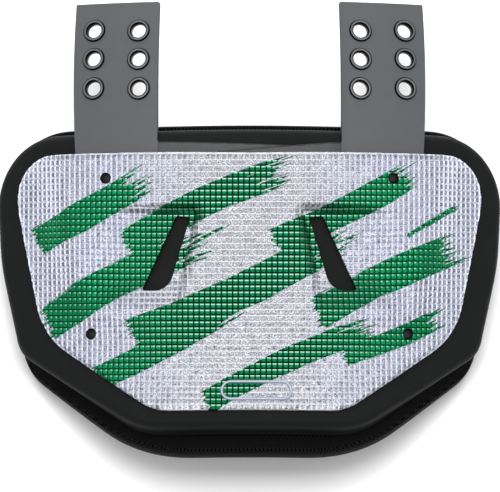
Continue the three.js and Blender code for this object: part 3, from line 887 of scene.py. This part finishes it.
def mouldedTpu():
    material, tree, surface = newMaterial("TPU, injection moulded, fine texture")
    place = addNode(tree, "Attribute", output="Vector", attribute_name="flat")
    mottle = addNode(tree, "TexNoise", {"Vector": place, "Scale": 1 / strap["mottleSize"], "Detail": 3})
    grain = addNode(tree, "TexNoise", {"Vector": place, "Scale": 1 / strap["grain"], "Detail": 2})
    greys = {0: mottle, 6: hexColour(strap["mottle"]), 7: hexColour(strap["grey"])}
    colour = addNode(tree, "Mix", greys, 2, data_type="RGBA")
    across = addNode(tree, "SeparateXYZ", [place])
    across = addNode(tree, "Math", [across], operation="ABSOLUTE")
    isArm = addNode(tree, "Math", [across, strap["footInner"]], operation="LESS_THAN")
    colour = addNode(tree, "Mix", {0: isArm, 6: colour, 7: hexColour(strap["armGrey"])}, 2, data_type="RGBA")
    # Painted shade along the edges, broader along the arms
    inside = addNode(tree, "Attribute", output="Fac", attribute_name="inside")
    inside = addNode(tree, "Math", [isArm, -strap["armEdgeShade"], inside], operation="MULTIPLY_ADD")
    clearOfEdgeShade = addNode(tree, "MapRange", [inside, *strap["edgeShadeBlend"]], interpolation_type="SMOOTHSTEP")
    edge = hexColour(strap["edgeShadeGrey"])
    colour = addNode(tree, "Mix", {0: clearOfEdgeShade, 6: edge, 7: colour}, 2, data_type="RGBA")
    strength, depth = strap["bump"]
    bump = addNode(tree, "Bump", {"Strength": strength, "Distance": depth * mm, "Height": grain})
    tree.links.new(colour, surface.inputs["Base Color"])
    tree.links.new(bump, surface.inputs["Normal"])
    surface.inputs["Roughness"].default_value = strap["roughness"]
    surface.inputs["IOR"].default_value = strap["ior"]
    return material


def makeStrap(side, material):
    sign = sideSigns[side]
    root, end = strap["armTops"][side]
    spots = [
        (strap["tipOuter"], strap["tip"]),
        (strap["tipInner"], strap["tip"] - strap["tipDrop"]),
        (strap["footInner"], root),
        (-strap["armReach"], end),
        (-strap["armReach"], strap["armBottom"]),
        (strap["footOuter"], strap["foot"]),
    ]
    corners = [(u, v, rounding) for (u, v), rounding in zip(spots, strap["rounds"])]
    outline = roundedOutline(corners if sign > 0 else mirrored(corners), step=2, turn=math.radians(12))
    low, high = layerGap, layerGap + strap["thickness"]

    def lift(u):
        return (strap["thickness"] + layerGap) * smoothBetween(u, *strap["armRamp"]) if sign > 0 else 0 * u

    def front(u, v):
        return high + lift(u) - strap["armStep"] * (u * sign < strap["footInner"])

    inner, halfStep = strap["footInner"], strap["stepWidth"] / 2
    below, above = strap["spare"]
    arm = np.arange(inner - halfStep, -strap["armReach"] - below, -strap["grid"])
    band = np.arange(inner + halfStep, strap["tipOuter"] + above, strap["grid"])
    us = np.sort(sign * np.concatenate([arm, band]))
    vs = np.arange(strap["foot"] - below, strap["tip"] + above, strap["grid"])
    piece = slabPiece(f"strap_{side}_moulded", us, vs, lambda u, v: low + lift(u), front)
    rows = [(0, high - strap["armStep"] - strap["chamfer"]), (strap["chamfer"], high)]
    shapePiece(piece, "INTERSECT", prismTool(outline, rows, lift=lift))
    bores = [(u, v, eyelet["barrel"]) for u, v in eyeletPlaces(sign)]
    bores.append((sign * rivet["places"]["upper"][0], rivet["places"]["upper"][1], rivet["shank"]))
    reach = strap["cutReach"]
    holes = [boreTool(u, v, radius + layerGap, -reach, reach) for u, v, radius in bores]
    shapePiece(piece, "DIFFERENCE", *holes)
    flat = flatPlaces(piece)
    storeValues(piece, "flat", flat)
    storeValues(piece, "inside", depthInside(flat[:, 0], flat[:, 1], outline))
    return finishPiece(piece, material, [f"strap_{side}"])


# Eyelets: rolled steel, blackened, with a grey painted highlight along the crest, so a grey ring with black
# edges
eyelet = {
    "barrel": 5,
    "rows": (151.5, 133.9, 115.9),
    "spread": (14, 0.6),
    "middle": (78, 76, 0.046),     # u of the strap's middle line at v, and its lean
    # radius, height and how much of the crest's painted highlight lies there
    "profile": [
        (6.88, 1.04, 0), (6.9, 1.4, 0), (6.72, 1.8, 0), (6.35, 2.1, 0), (6.05, 2.24, 0.8), (5.65, 2.3, 1),
        (5.25, 2.27, 0.8), (4.95, 2.12, 0), (4.6, 1.8, 0), (4.38, 1.4, 0), (4.3, 0.9, 0), (4.3, -1.3, 0),
        (4.5, -1.7, 0), (5, -1.95, 0), (5.6, -1.85, 0), (6, -1.55, 0), (6.1, -1.2, 0), (5, -1.2, 0),
        (5, 1.04, 0),
    ],
    "segments": 56,
    "black": "070708",
    # grey painted highlight on the crest
    "crestHighlight": "86888b",
    "smear": 1.5,                  # mm, uneven finish
    "roughness": (0.34, 0.46),
}


def eyeletPlaces(sign):
    u0, v0, lean = eyelet["middle"]
    spreadU, spreadV = eyelet["spread"]
    return [(sign * (u0 + (v - v0) * lean + end * spreadU), v + end * spreadV)
            for v in eyelet["rows"] for end in (1, -1)]


def blackenedSteel():
    material, tree, surface = newMaterial("steel, rolled, blackened, painted highlight on the crest")
    place = addNode(tree, "TexCoord", output="Object")
    crestHighlight = addNode(tree, "Attribute", output="Fac", attribute_name="crestHighlight")
    smear = addNode(tree, "TexNoise", {"Vector": place, "Scale": 1 / (eyelet["smear"] * mm), "Detail": 2})
    rough = addNode(tree, "MapRange", [smear, 0, 1, *eyelet["roughness"]])
    steel = {0: crestHighlight, 6: hexColour(eyelet["black"]), 7: hexColour(eyelet["crestHighlight"])}
    colour = addNode(tree, "Mix", steel, 2, data_type="RGBA")
    tree.links.new(colour, surface.inputs["Base Color"])
    tree.links.new(rough, surface.inputs["Roughness"])
    surface.inputs["Metallic"].default_value = 1
    return material


def makeEyelets(material):
    profile = [row[:2] for row in eyelet["profile"]]
    crestHighlight = np.repeat([row[2] for row in eyelet["profile"]], eyelet["segments"])
    for side, sign in sideSigns.items():
        for number, (u, v) in enumerate(eyeletPlaces(sign), start=1):
            matrix = seatMatrix(u, v, layerGap + strap["thickness"] / 2)
            piece = turnedPiece(f"eyelet_{side}_{number}_ring", profile, matrix, eyelet["segments"])
            storeValues(piece, "crestHighlight", crestHighlight)
            finishPiece(piece, material, [f"eyelet_{side}_{number}"])


# Rivets: black nylon, moulded glossy, so a dark dome with one small reflection
rivet = {
    "head": 3.05,
    "shank": 2,
    "reach": 7,              # mm into the foam
    "dome": 1,
    "recess": 0.6,           # the head's edge lies this far below the shell's face
    "places": {"upper": (83.7, 61.7, True), "lower": (93.7, -30, False)},   # u, v, and whether on a strap
    "segments": 40,
    "black": "060607",
    "smear": 2,              # mm, uneven gloss
    "roughness": (0.05, 0.15),
    "ior": 1.53,
    "gloss": 0.25,           # Specular IOR Level; sunk in their holes, they see little of the room
}


def rivetPlaces():
    return [(sign * u, v) for sign in sideSigns.values() for u, v, onStrap in rivet["places"].values()]


def glossNylon():
    material, tree, surface = newMaterial("nylon, moulded glossy")
    place = addNode(tree, "TexCoord", output="Object")
    smear = addNode(tree, "TexNoise", {"Vector": place, "Scale": 1 / (rivet["smear"] * mm), "Detail": 2})
    rough = addNode(tree, "MapRange", [smear, 0, 1, *rivet["roughness"]])
    tree.links.new(rough, surface.inputs["Roughness"])
    surface.inputs["Base Color"].default_value = hexColour(rivet["black"])
    surface.inputs["IOR"].default_value = rivet["ior"]
    surface.inputs["Specular IOR Level"].default_value = rivet["gloss"]
    return material


def makeRivets(material):
    head, shank, foot = rivet["head"], rivet["shank"], -rivet["reach"]
    for side, sign in sideSigns.items():
        for row, (u, v, onStrap) in rivet["places"].items():
            seat = (layerGap + strap["thickness"] if onStrap else 0) + layerGap
            edge = float(shellFace(np.array([u]), np.array([v]))[0]) - rivet["recess"]
            profile = [(0, foot), (shank, foot), (shank, seat), (head, seat)]
            profile += quarterRound((0, edge + rivet["dome"]), (head, edge), 8)[::-1]
            matrix = seatMatrix(sign * u, v, 0)
            piece = turnedPiece(f"rivet_{row}_{side}_head", profile, matrix, rivet["segments"])
            finishPiece(piece, material, [f"rivet_{row}_{side}"])


mould["restShift"] = findRestShift()
print("mould found at", [round(float(part), 3) for part in mould["restShift"]])
makeShell()
print("shell done")
makeFoam()
makePad()
print("foam and pad done")
tpu = mouldedTpu()
for side in sideSigns:
    makeStrap(side, tpu)
print("straps done")
makeEyelets(blackenedSteel())
makeRivets(glossNylon())
print("eyelets and rivets done")

# Photograph's view: 500 x 492 pixels, from in front of the lower edge, 14 degrees off straight down
camera = {
    "elevation": math.radians(76),
    "lens": 800,
    "clipEnd": 100,
    "pixel": 0.59,           # mm of the plate for each pixel
    "imageSize": (500, 492),
    "middleColumn": 249.5,   # column of the plate's middle line
    "lowestRow": 456.5,      # row of its lowest point
}


def makeCamera():
    back = Vector((0, -math.cos(camera["elevation"]), math.sin(camera["elevation"])))
    up = Vector((0, math.sin(camera["elevation"]), math.cos(camera["elevation"])))
    points = np.concatenate([[v.co for v in node.data.vertices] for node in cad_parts.values()])
    heights, depths = points @ np.array(up), points @ np.array(back)
    wide, tall = camera["imageSize"]
    pixel = camera["pixel"] * mm
    target = Vector(((wide / 2 - camera["middleColumn"]) * pixel, 0, 0))
    target += up * (heights.min() + (camera["lowestRow"] - tall / 2) * pixel)
    target += back * (depths.min() + depths.max()) / 2
    data = bpy.data.cameras.new("camera")
    data.lens = camera["lens"]
    data.clip_end = camera["clipEnd"]
    eye = bpy.data.objects.new("camera", data)
    eye.location = target + back * (wide * pixel * data.lens / data.sensor_width)
    eye.rotation_euler = back.to_track_quat("Z", "Y").to_euler()
    scene.collection.objects.link(eye)
    scene.camera = eye


# Pale floor and soft studio light: a bright ceiling over dimmer walls, big softboxes overhead and beyond the
# strap tips, to light the floor below them, and cards in the same places that only show as reflections
stage = {
    "floorSize": 40,
    "floor": "fbfbfb",
    "floorRoughness": 0.9,
    "ceiling": (1.1, 0.64),        # strength overhead, and beyond the strap tips, where it is dimmer
    "ceilingReach": (0, 0.5),
    "wall": (0.06, 0.38),          # strength behind the camera's foot, the darkest, and elsewhere
    "wallReach": (-0.8, 0.1),
    "ceilingFrom": (0.3, 0.8),     # height over which the walls pass into the ceiling
}
lights = {
    # direction, distance and size in metres, power in watts, and the kind of light it isn't seen by
    "overheadSoftbox": ((0, 0.2, 0.98), 1.8, (1.2, 1.2), 30, "glossy"),
    "backSoftbox": ((0, 1, 0.42), 1.8, (2.4, 1), 22, "glossy"),
    "overheadCard": ((0, 0.05, 1), 1.8, (3, 1.3), 4.3, "diffuse"),
    "topCard": ((0, 1, 0.32), 1.6, (1.8, 0.7), 6, "diffuse"),
}


def whiteRoom():
    world = bpy.data.worlds.new("white room")
    world.use_nodes = True
    tree = world.node_tree
    towards = addNode(tree, "TexCoord", output="Generated")
    along, height = addNode(tree, "SeparateXYZ", [towards], slice(1, 3))
    wall, ceiling = (addNode(tree, "MapRange", [along, *stage[name + "Reach"], *stage[name]],
                             interpolation_type="SMOOTHSTEP") for name in ("wall", "ceiling"))
    height = addNode(tree, "MapRange", [height, *stage["ceilingFrom"]], interpolation_type="SMOOTHSTEP")
    strength = addNode(tree, "Mix", {0: height, 2: wall, 3: ceiling})
    background = tree.nodes["Background"]
    background.inputs["Color"].default_value = (1, 1, 1, 1)
    tree.links.new(strength, background.inputs["Strength"])
    return world


def makeStage():
    half = stage["floorSize"] / 2
    corners = [(-half, -half, 0), (half, -half, 0), (half, half, 0), (-half, half, 0)]
    floor = meshPiece("floor", corners, [[0, 1, 2, 3]])
    material, tree, surface = newMaterial("white studio paper")
    surface.inputs["Base Color"].default_value = hexColour(stage["floor"])
    surface.inputs["Roughness"].default_value = stage["floorRoughness"]
    floor.data.materials.append(material)
    scene.world = whiteRoom()
    for name, (towards, distance, size, power, hidden) in lights.items():
        data = bpy.data.lights.new(name, "AREA")
        data.shape = "RECTANGLE"
        data.size, data.size_y = size
        data.energy = power
        light = bpy.data.objects.new(name, data)
        towards = Vector(towards).normalized()
        light.location = towards * distance
        light.rotation_euler = towards.to_track_quat("Z", "Y").to_euler()
        setattr(light, "visible_" + hidden, False)
        scene.collection.objects.link(light)
    scene.view_settings.view_transform = "Standard"


makeCamera()
makeStage()
print("camera and light done")
